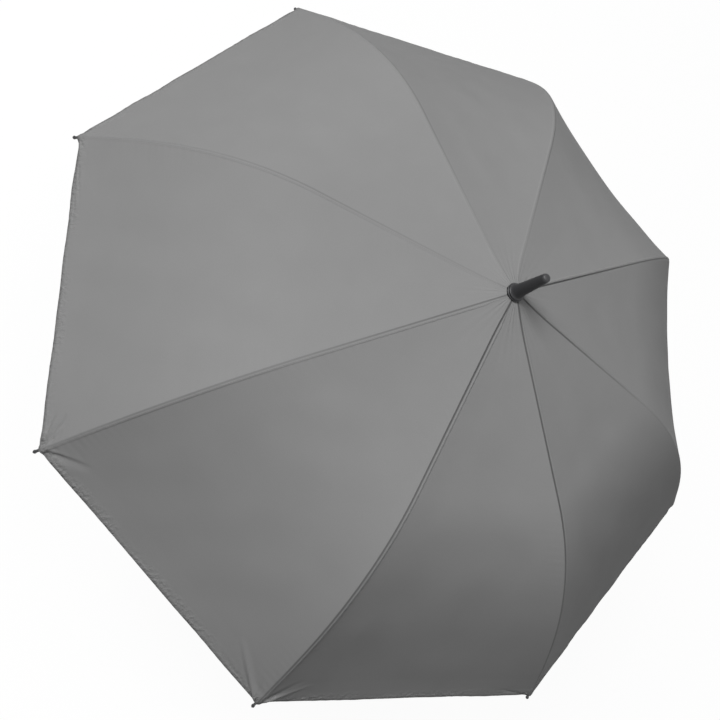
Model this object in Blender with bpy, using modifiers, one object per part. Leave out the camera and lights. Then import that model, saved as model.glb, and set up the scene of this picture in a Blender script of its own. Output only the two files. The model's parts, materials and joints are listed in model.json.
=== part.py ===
# Automatic-opening stick umbrella with eight ribs, shown open.
# Metres, +Z up along the shaft. The origin is on the shaft's axis inside the handle's grip.
# Rib 1 points to -Y and the ribs count on clockwise seen from above.

import bmesh
import bpy
import numpy as np
from math import atan2, cos, degrees, hypot, log, pi, radians, sin, sqrt
from mathutils import Matrix, Vector

# Driving dimensions
RIB_COUNT = 8
RIB_LENGTH = 0.574  # along the rib, from its crown pivot to the cloth's corner
JOINT_DISTANCE = 0.240  # along the rib, from its crown pivot to the stretcher joint
CROWN_SLOPE = radians(11.0)  # of the straight inner part of a rib, below horizontal
TIP_SLOPE = radians(50.9)  # of the rib at the cloth's corner
FOLD = radians(61)  # a rib's swing from open to closed
COLLAR_TOP = 0.0932  # from the middle of the grip up to the handle collar's top
RUNNER_FOOT = 0.066  # from the runner's pivots down to the end of its sleeve
SHAFT_RADIUS = 0.005
SHAFT_WALL = 0.0007
FERRULE_LENGTH = 0.059
HOOK_RADIUS = 0.036  # of the crook's centreline
GRIP_RADIUS = 0.0115
CLOTH = 0.0006

# Clearances shared by the pieces
GAP = 0.0003  # between touching pieces
RUNNING = 0.0004  # each side of a blade in its slot, and round a hinge wire
OVERRUN = 0.004  # a cutter's reach past the face that it opens
MERGE = 0.00001  # points nearer than this are one point

# Faces round a turned piece: whole multiples of four for each rib on the notched hubs
ROUND = 24
HUB_ROUND = 4 * RIB_COUNT
SMALL_ROUND = 8

parts = None
cutters = None


def start_collections():
    """Empties the scene and makes one collection for the pieces and one for the cutters."""
    for ob in list(bpy.data.objects):
        bpy.data.objects.remove(ob)
    made = []
    for name in ("umbrella", "cutters"):
        coll = bpy.data.collections.new(name)
        bpy.context.scene.collection.children.link(coll)
        made.append(coll)
    return made


def material(name, colour, roughness, metallic=0.0):
    """A Principled material."""
    mat = bpy.data.materials.new(name)
    mat.use_nodes = True
    bsdf = mat.node_tree.nodes["Principled BSDF"]
    bsdf.inputs["Base Color"].default_value = (*colour, 1.0)
    bsdf.inputs["Roughness"].default_value = roughness
    bsdf.inputs["Metallic"].default_value = metallic
    return mat


def add(name, mesh, mat, location=(0, 0, 0), rotation=(0, 0, 0)):
    """A piece that uses the mesh, at its place."""
    ob = bpy.data.objects.new(name, mesh)
    parts.objects.link(ob)
    ob.location = location
    ob.rotation_euler = rotation
    if not mesh.materials:
        mesh.materials.append(mat)
    return ob


def baked(ob):
    """The object's mesh with its modifiers applied; the object itself is removed."""
    bpy.context.view_layer.update()
    graph = bpy.context.evaluated_depsgraph_get()
    mesh = bpy.data.meshes.new_from_object(ob.evaluated_get(graph))
    bpy.data.objects.remove(ob)
    return mesh


def smooth(mesh, angle=radians(35)):
    """Round faces shaded smooth, corners kept sharp."""
    mesh.shade_smooth()
    mesh.set_sharp_from_angle(angle=angle)
    return mesh


def turned(name, profile, steps=ROUND):
    """A solid of revolution about Z. The profile is (radius, height) and runs down its outer side."""
    mesh = bpy.data.meshes.new(name)
    points = [(r, 0, z) for r, z in profile]
    ends_on_axis = profile[0][0] == 0 and profile[-1][0] == 0
    edges = [(i, i + 1) for i in range(len(points) - 1)]
    if not ends_on_axis:
        edges.append((len(points) - 1, 0))
    mesh.from_pydata(points, edges, [])
    ob = bpy.data.objects.new(name, mesh)
    parts.objects.link(ob)
    screw = ob.modifiers.new("turn", "SCREW")
    screw.steps = screw.render_steps = steps
    screw.use_merge_vertices = True
    screw.merge_threshold = MERGE
    return baked(ob)


def block(low, high):
    """A box mesh between two corners."""
    bm = bmesh.new()
    bmesh.ops.create_cube(bm, size=1)
    low, high = Vector(low), Vector(high)
    size = high - low
    bmesh.ops.scale(bm, vec=size, verts=bm.verts)
    bmesh.ops.translate(bm, vec=(low + high) / 2, verts=bm.verts)
    return bm


def rod(radius, start, end, steps=SMALL_ROUND):
    """A cylinder mesh between two points."""
    start, end = Vector(start), Vector(end)
    along = end - start
    bm = bmesh.new()
    size = {"radius1": radius, "radius2": radius, "depth": along.length}
    bmesh.ops.create_cone(bm, cap_ends=True, segments=steps, **size)
    turn = Vector((0, 0, 1)).rotation_difference(along)
    place = Matrix.Translation((start + end) / 2) @ turn.to_matrix().to_4x4()
    bmesh.ops.transform(bm, matrix=place, verts=bm.verts)
    return bm


def cutter(name, shapes):
    """One hidden object of separate closed shapes, for a Boolean."""
    mesh = bpy.data.meshes.new(name)
    whole = bmesh.new()
    for shape in shapes:
        piece = bpy.data.meshes.new(name)
        shape.to_mesh(piece)
        shape.free()
        whole.from_mesh(piece)
        bpy.data.meshes.remove(piece)
    whole.to_mesh(mesh)
    whole.free()
    ob = bpy.data.objects.new(name, mesh)
    cutters.objects.link(ob)
    ob.hide_render = True
    ob.display_type = "WIRE"
    return ob


def worked(name, mesh, steps):
    """The mesh after a row of Booleans, each (operation, tool)."""
    ob = bpy.data.objects.new(name, mesh)
    parts.objects.link(ob)
    for operation, tool in steps:
        step = ob.modifiers.new(tool.name, "BOOLEAN")
        step.operation = operation
        step.object = tool
        step.solver = "EXACT"
    return baked(ob)


def lofted(name, rings):
    """A closed body through rings of as many points each, with flat ends."""
    count = len(rings[0])
    points = [p for ring in rings for p in ring]
    faces = []
    for i in range(len(rings) - 1):
        a, b = i * count, (i + 1) * count
        for j in range(count):
            k = (j + 1) % count
            faces.append((a + j, a + k, b + k, b + j))
    faces.append(tuple(reversed(range(count))))
    last = (len(rings) - 1) * count
    faces.append(tuple(last + j for j in range(count)))
    mesh = bpy.data.meshes.new(name)
    mesh.from_pydata(points, [], faces)
    bm = bmesh.new()
    bm.from_mesh(mesh)
    bmesh.ops.recalc_face_normals(bm, faces=bm.faces)
    bm.to_mesh(mesh)
    bm.free()
    return mesh


# The rib's line, in the rib's own plane: X outward and Z up from its crown pivot

FINE_STEPS = 1200
FINE_SHARES = np.arange(FINE_STEPS + 1) / FINE_STEPS
SLOPE_GAIN = TIP_SLOPE - CROWN_SLOPE


def rib_slope(along):
    """Straight to the joint, then a bent strip: its curvature falls to nothing at the tip."""
    share = np.clip((along - JOINT_DISTANCE) / (RIB_LENGTH - JOINT_DISTANCE), 0, 1)
    return CROWN_SLOPE + SLOPE_GAIN * (1 - (1 - share) ** 2)


def rib_line(along):
    """x, z and slope at distances along the rib; a negative distance runs back past the pivot."""
    along = np.asarray(along, float)
    fine = RIB_LENGTH * FINE_SHARES
    middle = rib_slope((fine[1:] + fine[:-1]) / 2)
    step = RIB_LENGTH / FINE_STEPS
    x = np.concatenate([[0], np.cumsum(np.cos(middle)) * step])
    z = np.concatenate([[0], -np.cumsum(np.sin(middle)) * step])
    before = np.minimum(along, 0)
    return (
        np.interp(along, fine, x) + before * cos(CROWN_SLOPE),
        np.interp(along, fine, z) - before * sin(CROWN_SLOPE),
        rib_slope(along),
    )


# Hinge wires, and the circle on which ribs and stretchers are pinned

WIRE_RADIUS = 0.0005
BLADE_WIDTH = 0.0012
EYE_RADIUS = 0.0020  # of a rib's pressed end round the crown's wire
SLOT_WIDTH = BLADE_WIDTH + 2 * RUNNING
PIVOT_RADIUS = 0.0097  # from the shaft's axis to the crown's wire

# The folding linkage: two equal arms, so the stretcher's inner end stays over the runner

JOINT_DROP = 0.0048  # of the stretcher's pin below the rib's centreline
ARM = hypot(JOINT_DISTANCE, JOINT_DROP)
ARM_SLOPE = CROWN_SLOPE + atan2(JOINT_DROP, JOINT_DISTANCE)
RUNNER_DROP = 2 * ARM * sin(ARM_SLOPE)  # of the runner's pivots below the crown's
RUNNER_TRAVEL = 2 * ARM * sin(ARM_SLOPE + FOLD) - RUNNER_DROP
RUNNER_CLOSED_FOOT = COLLAR_TOP + 2 * GAP
CROWN_Z = RUNNER_CLOSED_FOOT + RUNNER_FOOT + RUNNER_TRAVEL + RUNNER_DROP
RUNNER_Z = CROWN_Z - RUNNER_DROP

RIB_ANGLES = [-pi / 2 - i * 2 * pi / RIB_COUNT for i in range(RIB_COUNT)]


def on_circle(radius, angle, z):
    """A point at a radius and angle about the shaft."""
    return (radius * cos(angle), radius * sin(angle), z)


def in_rib_plane(x, z, angle):
    """World place of a point of a rib's own plane, measured from its crown pivot."""
    return on_circle(PIVOT_RADIUS + x, angle, CROWN_Z + z)


# Radial slots of the crown and the runner

def slots(floor, outer, low, high, width):
    """Box cutters, one for each rib, from the slot's floor outward."""
    made = []
    for angle in RIB_ANGLES:
        bm = block((floor, -width / 2, low), (outer + OVERRUN, width / 2, high))
        bmesh.ops.rotate(bm, matrix=Matrix.Rotation(angle, 3, "Z"), verts=bm.verts)
        made.append(bm)
    return made


def wire_ring(name, radius, mat, z):
    """A hinge wire closed round the shaft."""
    curve = bpy.data.curves.new(name, "CURVE")
    curve.dimensions = "3D"
    curve.bevel_depth = WIRE_RADIUS
    curve.bevel_resolution = 1
    line = curve.splines.new("POLY")
    count = HUB_ROUND
    line.points.add(count - 1)
    for i, point in enumerate(line.points):
        angle = 2 * pi * i / count
        point.co = (radius * cos(angle), radius * sin(angle), 0, 1)
    line.use_cyclic_u = True
    ob = bpy.data.objects.new(name, curve)
    parts.objects.link(ob)
    mesh = smooth(baked(ob))
    mesh.materials.clear()
    return add(name, mesh, mat, location=(0, 0, z))


# Shaft: a steel tube with a slit for the drive pin and a cross hole under the crown

SHAFT_BORE = SHAFT_RADIUS - SHAFT_WALL
SHAFT_TOP = CROWN_Z + 0.034
SHAFT_FOOT = 0.0
DRIVE_PIN_RADIUS = 0.0007
DRIVE_PIN_DROP = 0.030  # of the drive pin below the runner's pivots
SLIT_WIDTH = 2 * (DRIVE_PIN_RADIUS + RUNNING)
CROWN_PIN_RADIUS = 0.00075
CROWN_PIN_DROP = 0.0105  # below the rib pivots


def make_shaft(mat):
    """A tube, slit along one side between the runner's two stops."""
    outer, bore = SHAFT_RADIUS, SHAFT_BORE
    wall = [(outer, SHAFT_TOP), (outer, SHAFT_FOOT), (bore, SHAFT_FOOT), (bore, SHAFT_TOP)]
    tube = turned("shaft_tube", wall)
    pin_open = RUNNER_Z - DRIVE_PIN_DROP
    slit_top = pin_open + SLIT_WIDTH
    slit_foot = pin_open - RUNNER_TRAVEL - SLIT_WIDTH
    slit = block((-SHAFT_RADIUS - OVERRUN, -SLIT_WIDTH / 2, slit_foot), (0, SLIT_WIDTH / 2, slit_top))
    z = CROWN_Z - CROWN_PIN_DROP
    reach = SHAFT_RADIUS + OVERRUN
    hole = rod(CROWN_PIN_RADIUS + GAP, (0, -reach, z), (0, reach, z))
    mesh = worked("shaft_tube", tube, [("DIFFERENCE", cutter("shaft_cuts", [slit, hole]))])
    return add("shaft_tube", smooth(mesh), mat)


# Crown: the fixed notched hub that carries the ribs on a wire

CROWN_RADIUS = 0.0112
CROWN_TOP = 0.0042  # above the rib pivots
CROWN_SKIRT = 0.0050  # of the notched rim below the rib pivots
CROWN_NECK = 0.0066
CROWN_FOOT = 0.0150  # of the neck below the rib pivots
WIRE_GROOVE = WIRE_RADIUS + GAP
EDGE = 0.0006  # small chamfer on moulded edges


def make_crown(mat):
    """A notched hub with a groove for the wire, fixed by a cross pin through its neck."""
    bore = SHAFT_RADIUS + GAP
    groove = PIVOT_RADIUS - WIRE_GROOVE
    neck = CROWN_NECK
    profile = [
        (CROWN_RADIUS - EDGE, CROWN_TOP),
        (CROWN_RADIUS, CROWN_TOP - EDGE),
        (CROWN_RADIUS, WIRE_GROOVE),
        (groove, WIRE_GROOVE),
        (groove, -WIRE_GROOVE),
        (CROWN_RADIUS, -WIRE_GROOVE),
        (CROWN_RADIUS, EDGE - CROWN_SKIRT),
        (CROWN_RADIUS - EDGE, -CROWN_SKIRT),
        (neck + EDGE, -CROWN_SKIRT),
        (neck, -CROWN_SKIRT - EDGE),
        (neck, EDGE - CROWN_FOOT),
        (neck - EDGE, -CROWN_FOOT),
        (bore, -CROWN_FOOT),
        (bore, CROWN_TOP),
    ]
    hub = turned("crown", profile, HUB_ROUND)
    floor = PIVOT_RADIUS - EYE_RADIUS - RUNNING - GAP
    notch = slots(floor, CROWN_RADIUS, -CROWN_SKIRT - OVERRUN, EYE_RADIUS + RUNNING, SLOT_WIDTH)
    z = -CROWN_PIN_DROP
    reach = neck + OVERRUN
    hole = rod(CROWN_PIN_RADIUS + GAP, (0, -reach, z), (0, reach, z))
    mesh = worked("crown", hub, [
        ("DIFFERENCE", cutter("crown_notches", notch)),
        ("DIFFERENCE", cutter("crown_hole", [hole])),
    ])
    return add("crown", smooth(mesh), mat, location=(0, 0, CROWN_Z))


def make_crown_pin(mat):
    """The cross pin that fixes the crown to the shaft and holds the spring's top loop."""
    reach = CROWN_NECK + GAP
    z = CROWN_Z - CROWN_PIN_DROP
    mesh = bpy.data.meshes.new("crown_pin")
    bm = rod(CROWN_PIN_RADIUS, (0, -reach, 0), (0, reach, 0))
    bm.to_mesh(mesh)
    bm.free()
    return add("crown_pin", smooth(mesh), mat, location=(0, 0, z))


# Runner: the sliding hub that carries the stretchers, with its drive plunger inside the shaft

BLADE_HALF = 0.0012  # half height of a stretcher's pressed inner end
RUNNER_WIRE_CIRCLE = PIVOT_RADIUS - BLADE_HALF - GAP - WIRE_RADIUS
RUNNER_RADIUS = 0.0120
RUNNER_HALF = 0.0045  # half height of the notched rim
RUNNER_SLEEVE = 0.0067
FOOT_RADIUS = 0.0096
FOOT_HEIGHT = 0.009
STRETCHER_BLADE = 0.0014
RUNNER_SLOT = STRETCHER_BLADE + 2 * RUNNING


def make_runner(mat):
    """Notched rim, wire groove, plain sleeve and a thicker end to pull on."""
    bore = SHAFT_RADIUS + GAP
    groove = RUNNER_WIRE_CIRCLE - WIRE_GROOVE
    rim, half, sleeve = RUNNER_RADIUS, RUNNER_HALF, RUNNER_SLEEVE
    foot_top = FOOT_HEIGHT - RUNNER_FOOT
    profile = [
        (rim - EDGE, half),
        (rim, half - EDGE),
        (rim, WIRE_GROOVE),
        (groove, WIRE_GROOVE),
        (groove, -WIRE_GROOVE),
        (rim, -WIRE_GROOVE),
        (rim, EDGE - half),
        (rim - EDGE, -half),
        (sleeve, -half),
        (sleeve, foot_top),
        (FOOT_RADIUS - EDGE, foot_top - 2 * EDGE),
        (FOOT_RADIUS, foot_top - 4 * EDGE),
        (FOOT_RADIUS, EDGE - RUNNER_FOOT),
        (FOOT_RADIUS - EDGE, -RUNNER_FOOT),
        (bore, -RUNNER_FOOT),
        (bore, half),
    ]
    hub = turned("runner", profile, HUB_ROUND)
    floor = (groove + sleeve) / 2
    notch = slots(floor, rim, -half - OVERRUN, half + OVERRUN, RUNNER_SLOT)
    z = -DRIVE_PIN_DROP
    hole = rod(DRIVE_PIN_RADIUS + GAP, (-sleeve - OVERRUN, 0, z), (-SHAFT_RADIUS / 2, 0, z))
    mesh = worked("runner", hub, [
        ("DIFFERENCE", cutter("runner_notches", notch)),
        ("DIFFERENCE", cutter("runner_hole", [hole])),
    ])
    return add("runner", smooth(mesh), mat, location=(0, 0, RUNNER_Z))


PLUNGER_HEIGHT = 0.014
SPRING_WIRE = 0.00045
SPRING_RADIUS = 0.0028  # of the coil's centreline
SPRING_TURNS = 14


def make_plunger(mat):
    """A slug inside the shaft; its pin passes the slit into the runner's sleeve."""
    radius = SHAFT_BORE - GAP
    half = PLUNGER_HEIGHT / 2
    profile = [
        (0, half),
        (radius - EDGE, half),
        (radius, half - EDGE),
        (radius, EDGE - half),
        (radius - EDGE, -half),
        (0, -half),
    ]
    slug = turned("drive_plunger", profile, SMALL_ROUND)
    pin = rod(DRIVE_PIN_RADIUS, (-RUNNER_SLEEVE, 0, 0), (-radius / 2, 0, 0), SMALL_ROUND)
    mesh = worked("drive_plunger", slug, [("UNION", cutter("drive_pin", [pin]))])
    return add("drive_plunger", smooth(mesh), mat, location=(0, 0, RUNNER_Z - DRIVE_PIN_DROP))


def make_spring(mat):
    """The tension spring inside the shaft, from under the crown's pin down to the plunger."""
    top = CROWN_Z - CROWN_PIN_DROP - CROWN_PIN_RADIUS - SPRING_WIRE - GAP
    foot = RUNNER_Z - DRIVE_PIN_DROP + PLUNGER_HEIGHT / 2 + SPRING_WIRE + GAP
    curve = bpy.data.curves.new("main_spring", "CURVE")
    curve.dimensions = "3D"
    curve.bevel_depth = SPRING_WIRE
    curve.bevel_resolution = 1
    curve.use_fill_caps = True
    line = curve.splines.new("POLY")
    per_turn = 8
    count = SPRING_TURNS * per_turn + 1
    line.points.add(count - 1)
    for i, point in enumerate(line.points):
        angle = 2 * pi * i / per_turn
        share = i / (count - 1)
        point.co = (SPRING_RADIUS * cos(angle), SPRING_RADIUS * sin(angle), foot + (top - foot) * share, 1)
    pitch = (top - foot) / SPRING_TURNS
    print("main spring: least gap between turns %.5f m" % (pitch - 2 * SPRING_WIRE))
    ob = bpy.data.objects.new("main_spring", curve)
    parts.objects.link(ob)
    mesh = baked(ob)
    mesh.materials.clear()
    bm = bmesh.new()
    bm.from_mesh(mesh)
    bmesh.ops.remove_doubles(bm, verts=bm.verts, dist=MERGE)
    bm.to_mesh(mesh)
    bm.free()
    return add("main_spring", smooth(mesh), mat)


# Ribs: fluted steel strips, pressed flat round the crown's wire, with a lug for the stretcher

RIB_WIDTH = 0.0028
RIB_HEIGHT = 0.0024
RIB_SHEET = 0.0005
PRESS_END = 0.004  # where the pressed blade starts to open out
PRESS_FULL = 0.015  # where the flute has its full width
RIB_TAPER = 0.030  # length of the narrowing end
RIB_END_WIDTH = 0.0016
RIB_END_HEIGHT = 0.0015
RIB_END_INSET = 0.002  # from the cloth's corner back to the rib's end
LUG_WIDTH = 0.0012
LUG_LENGTH = 0.0050
LUG_BELOW = 0.0018  # below the stretcher's pin
HINGE_PIN = 0.0006  # radius of the stretcher's pin
BEND_STATIONS = 11
BEND_SHARES = np.arange(BEND_STATIONS) / (BEND_STATIONS - 1)


def flute(width, height, sheet):
    """The section of a fluted strip as (across, up) points, open below."""
    w, h = width / 2, height / 2
    wi, hi = w - sheet, h - sheet
    return [(-w, -h), (-w, h), (w, h), (w, -h), (wi, -h), (wi, hi), (-wi, hi), (-wi, -h)]


def rib_stations():
    """Distance along, width and height of each section of a rib."""
    eye = EYE_RADIUS
    rows = []
    for share in (0.97, 0.75, 0.4, 0):
        rows.append((-eye * share, BLADE_WIDTH, 2 * eye * sqrt(1 - share**2)))
    rows.append((PRESS_END, BLADE_WIDTH, RIB_HEIGHT + (2 * eye - RIB_HEIGHT) / 2))
    rows.append((PRESS_FULL, RIB_WIDTH, RIB_HEIGHT))
    end = RIB_LENGTH - RIB_END_INSET
    taper = end - RIB_TAPER
    for along in JOINT_DISTANCE + (taper - JOINT_DISTANCE) * BEND_SHARES:
        rows.append((along, RIB_WIDTH, RIB_HEIGHT))
    rows.append((end - RIB_TAPER / 2, RIB_END_WIDTH, RIB_END_HEIGHT))
    rows.append((end, RIB_END_WIDTH, RIB_END_HEIGHT))
    return rows


def make_rib_mesh(mat):
    """One rib in its own frame: origin on its crown pivot, X outward, Z up."""
    rows = rib_stations()
    x, z, slope = rib_line([row[0] for row in rows])
    rings = []
    for i, (along, width, height) in enumerate(rows):
        sheet = min(RIB_SHEET, height / 4)
        ring = []
        for v, n in flute(width, height, sheet):
            ring.append((x[i] + n * sin(slope[i]), v, z[i] + n * cos(slope[i])))
        rings.append(ring)
    strip = lofted("rib", rings)
    eye = rod(WIRE_RADIUS + RUNNING, (0, -RIB_WIDTH, 0), (0, RIB_WIDTH, 0))
    jx, jz, _ = (float(v) for v in rib_line(JOINT_DISTANCE))
    lug_low = (-LUG_LENGTH / 2, -LUG_WIDTH / 2, -JOINT_DROP - LUG_BELOW)
    lug = block(lug_low, (LUG_LENGTH / 2, LUG_WIDTH / 2, RIB_HEIGHT / 2 - RIB_SHEET / 2))
    hole = rod(HINGE_PIN + GAP, (0, -LUG_WIDTH, -JOINT_DROP), (0, LUG_WIDTH, -JOINT_DROP))
    place = Matrix.Translation((jx, 0, jz)) @ Matrix.Rotation(CROWN_SLOPE, 4, "Y")
    for shape in (lug, hole):
        bmesh.ops.transform(shape, matrix=place, verts=shape.verts)
    mesh = worked("rib", strip, [
        ("DIFFERENCE", cutter("rib_eye", [eye])),
        ("UNION", cutter("rib_lug", [lug])),
        ("DIFFERENCE", cutter("rib_lug_hole", [hole])),
    ])
    mesh.materials.append(mat)
    return smooth(mesh)


# Rib tips: small moulded caps on the ribs' ends, to which the cloth's corners are sewn

TIP_RADIUS = 0.0022
TIP_BORE = 0.0014
TIP_INSIDE = 0.012  # from the cloth's corner back along the rib
TIP_OUTSIDE = 0.011  # beyond the cloth's corner
TIP_NECK = 0.0017
TIP_BEAD = 0.0024


def make_tip_mesh(mat):
    """A cap along X: origin at the cloth's corner, bored for the rib, with a bead at its end."""
    out, inside = TIP_OUTSIDE, TIP_INSIDE
    floor = GAP - RIB_END_INSET
    profile = [
        (0, out),
        (TIP_BEAD * 0.6, out - TIP_BEAD * 0.2),
        (TIP_BEAD, out - TIP_BEAD),
        (TIP_BEAD * 0.75, out - 2 * TIP_BEAD),
        (TIP_NECK, out / 3),
        (TIP_RADIUS, 0),
        (TIP_RADIUS, -inside + EDGE),
        (TIP_RADIUS - EDGE / 2, -inside),
        (TIP_BORE, -inside),
        (TIP_BORE, floor),
        (0, floor),
    ]
    mesh = turned("rib_tip", profile, SMALL_ROUND)
    mesh.transform(Matrix.Rotation(pi / 2, 4, "Y"))
    mesh.materials.append(mat)
    return smooth(mesh)


# Stretchers: fluted struts from the rib's lug in to the runner

STRETCHER_WIDTH = 0.0034
STRETCHER_HEIGHT = 0.0024
STRETCHER_SHEET = 0.0006
EAR_REACH = 0.0020  # beyond the pin
EAR_OPEN = 0.008  # length without a web at the forked end
PIN_HEAD = 0.0003


def make_stretcher_mesh(mat):
    """One stretcher in its own frame: origin on the rib joint's pin, X to the runner, open above."""
    blade = 2 * BLADE_HALF
    rows = [
        (-EAR_REACH, STRETCHER_WIDTH, STRETCHER_HEIGHT),
        (ARM - PRESS_FULL, STRETCHER_WIDTH, STRETCHER_HEIGHT),
        (ARM - PRESS_END, STRETCHER_BLADE, blade),
        (ARM, STRETCHER_BLADE, blade),
        (ARM + BLADE_HALF * 0.7, STRETCHER_BLADE, blade * 0.7),
        (ARM + BLADE_HALF, STRETCHER_BLADE, blade * 0.3),
    ]
    rings = []
    for along, width, height in rows:
        sheet = min(STRETCHER_SHEET, height / 4)
        rings.append([(along, v, -n) for v, n in flute(width, height, sheet)])
    strut = lofted("stretcher", rings)
    gap = STRETCHER_WIDTH / 2 - STRETCHER_SHEET
    web = block((-EAR_REACH - OVERRUN, -gap, -STRETCHER_HEIGHT), (EAR_OPEN, gap, STRETCHER_HEIGHT))
    reach = STRETCHER_WIDTH / 2 + PIN_HEAD
    pin = rod(HINGE_PIN, (0, -reach, 0), (0, reach, 0))
    mesh = worked("stretcher", strut, [
        ("DIFFERENCE", cutter("stretcher_fork", [web])),
        ("UNION", cutter("stretcher_pin", [pin])),
    ])
    mesh.materials.append(mat)
    return smooth(mesh)


# Cloth: each panel between two ribs is two halves, which fold along their rib when it closes

RIB_SEAT = RIB_HEIGHT / 2 + 3 * GAP + CLOTH / 2  # of the cloth's middle over the rib's centreline
CROWN_LIFT = 0.0040  # where the cloth is tented over the crown's rim
CROWN_LIFT_END = 0.060
TIP_SEAT = TIP_RADIUS + 2 * GAP + CLOTH / 2
CLOTH_START = -0.0028  # along the rib, where the cloth's centre hole ends
PANEL_SAG = 0.010  # of the middle of a panel, towards the inside
SAG_PEAK_SHARE = 0.66  # of the rib's length, where a panel sags most
HALF_PANEL = pi / RIB_COUNT
PLEAT_DROP = 0.050  # of a half panel's fold axis inside the rib's chord
LIFT_SHARES = (0, 0.25, 0.55, 1)  # stations of the tented part
ACROSS_SHARES = (0, 0.3, 0.65, 1)


def cloth_stations():
    """Distances along the rib of the cloth's rows: the tented part, the straight part and the bend."""
    tented = [CLOTH_START + CROWN_LIFT_END * share for share in LIFT_SHARES]
    straight = [(tented[-1] + JOINT_DISTANCE) / 2]
    bend = JOINT_DISTANCE + (RIB_LENGTH - JOINT_DISTANCE) * BEND_SHARES
    return np.array(tented + straight + list(bend))


def cloth_seat(along):
    """How far the cloth's middle lies over the rib's centreline."""
    near = np.clip(1 - (along - CLOTH_START) / CROWN_LIFT_END, 0, 1)
    far = np.clip((along - RIB_LENGTH + RIB_TAPER + TIP_INSIDE) / RIB_TAPER, 0, 1)
    return RIB_SEAT + CROWN_LIFT * near**2 + (TIP_SEAT - RIB_SEAT) * far


def cloth_point(along, across):
    """Rows of points of a half panel on the rib's left, from the rib (0) to the panel's middle (1)."""
    x, z, slope = rib_line(along)
    seat = cloth_seat(along)
    radius = PIVOT_RADIUS + x + seat * np.sin(slope)
    height = z + seat * np.cos(slope)
    turn = 2 * HALF_PANEL
    half = across / 2
    px = radius * (1 - half + half * cos(turn))
    py = radius * half * sin(turn)
    share = np.clip(along / RIB_LENGTH, 0, 1)
    swell = np.sin(pi * share ** (log(1 / 2) / log(SAG_PEAK_SHARE)))
    sag = PANEL_SAG * swell * (1 - (1 - across) ** 2)
    px = px - sag * np.sin(slope) * cos(HALF_PANEL)
    py = py - sag * np.sin(slope) * sin(HALF_PANEL)
    pz = height - sag * np.cos(slope)
    return px - PIVOT_RADIUS, py, pz


def chord_slope():
    """Slope of the straight line from a rib's pivot to its end."""
    x, z, _ = rib_line(RIB_LENGTH)
    return float(np.arctan2(-z, x))


def pleat_origin():
    """A point on the fold axis of a half panel, in the rib's own plane."""
    slope = chord_slope()
    return (-PLEAT_DROP * sin(slope), -PLEAT_DROP * cos(slope))


def make_half_panel_mesh(name, side, mat):
    """A half panel as a grid given the cloth's thickness; side is 1 on the rib's left, -1 on its right."""
    ox, oz = pleat_origin()
    along = cloth_stations()
    columns = []
    for i, across in enumerate(ACROSS_SHARES):
        x, y, z = cloth_point(along, across)
        if i == 0:
            y = y + GAP
        if i == len(ACROSS_SHARES) - 1:
            x = x + GAP / 2 * sin(HALF_PANEL)
            y = y - GAP / 2 * cos(HALF_PANEL)
        columns.append(list(zip(x - ox, y * side, z - oz)))
    count = len(along)
    points = [p for column in columns for p in column]
    faces = []
    for j in range(len(columns) - 1):
        for i in range(count - 1):
            a, b = j * count + i, (j + 1) * count + i
            faces.append((a, a + 1, b + 1, b) if side > 0 else (a, b, b + 1, a + 1))
    mesh = bpy.data.meshes.new(name)
    mesh.from_pydata(points, [], faces)
    ob = bpy.data.objects.new(name, mesh)
    parts.objects.link(ob)
    wall = ob.modifiers.new("cloth", "SOLIDIFY")
    wall.thickness = CLOTH
    wall.offset = 0
    made = smooth(baked(ob))
    made.materials.append(mat)
    return made


# Ferrule and its washer, which clamp the cloth's centre over the crown

WASHER_RADIUS = 0.0112
WASHER_HEIGHT = 0.0014
FERRULE_BASE = 0.0101
FERRULE_RIM = 0.0014  # height of the base's rim
FERRULE_FLARE = 0.0150  # height at which the flared base ends
FERRULE_NECK = 0.0074  # radius there
FERRULE_TOP = 0.0054
FERRULE_FLAT = 0.0026  # radius of the flat end
FERRULE_ROUND = 0.0040  # height of the rounded end
FLARE_STEPS = 6


def cloth_peak():
    """Height over the rib pivots of the cloth's upper face beside the shaft."""
    x, z, slope = rib_line(CLOTH_START)
    return float(z + cloth_seat(CLOTH_START) * np.cos(slope)) + CLOTH


WASHER_Z = CROWN_Z + cloth_peak() + GAP
FERRULE_Z = WASHER_Z + WASHER_HEIGHT + GAP


def make_washer(mat):
    """A moulded washer on the cloth, under the ferrule."""
    bore = SHAFT_RADIUS + GAP
    rim, top = WASHER_RADIUS, WASHER_HEIGHT
    profile = [
        (FERRULE_BASE + EDGE, top),
        (rim - EDGE, top * 0.8),
        (rim, top * 0.5),
        (rim, 0),
        (bore, 0),
        (bore, top),
    ]
    mesh = smooth(turned("ferrule_washer", profile))
    return add("ferrule_washer", mesh, mat, location=(0, 0, WASHER_Z))


def make_ferrule(mat):
    """A tapered cap over the shaft's end, with a rounded nose and a base that flares in a hollow curve."""
    bore = SHAFT_RADIUS + GAP
    depth = SHAFT_TOP + GAP - FERRULE_Z
    length = FERRULE_LENGTH - WASHER_HEIGHT - GAP
    nose = length - FERRULE_ROUND
    profile = [(0, length), (FERRULE_FLAT, length)]
    for i in (1, 2, 3, 4):
        angle = pi / 2 * (1 - i / 4)
        radius = FERRULE_FLAT + (FERRULE_TOP - FERRULE_FLAT) * cos(angle)
        profile.append((radius, nose + FERRULE_ROUND * sin(angle)))
    spread = FERRULE_BASE - FERRULE_NECK
    rise = FERRULE_FLARE - FERRULE_RIM
    for i in range(FLARE_STEPS + 1):
        angle = pi / 2 * i / FLARE_STEPS
        profile.append((FERRULE_BASE - spread * cos(angle), FERRULE_FLARE - rise * sin(angle)))
    profile += [(FERRULE_BASE, 0), (bore, 0), (bore, depth), (0, depth)]
    return add("ferrule", smooth(turned("ferrule", profile)), mat, location=(0, 0, FERRULE_Z))


# Handle: a collar with the push button, and the crook

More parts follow.
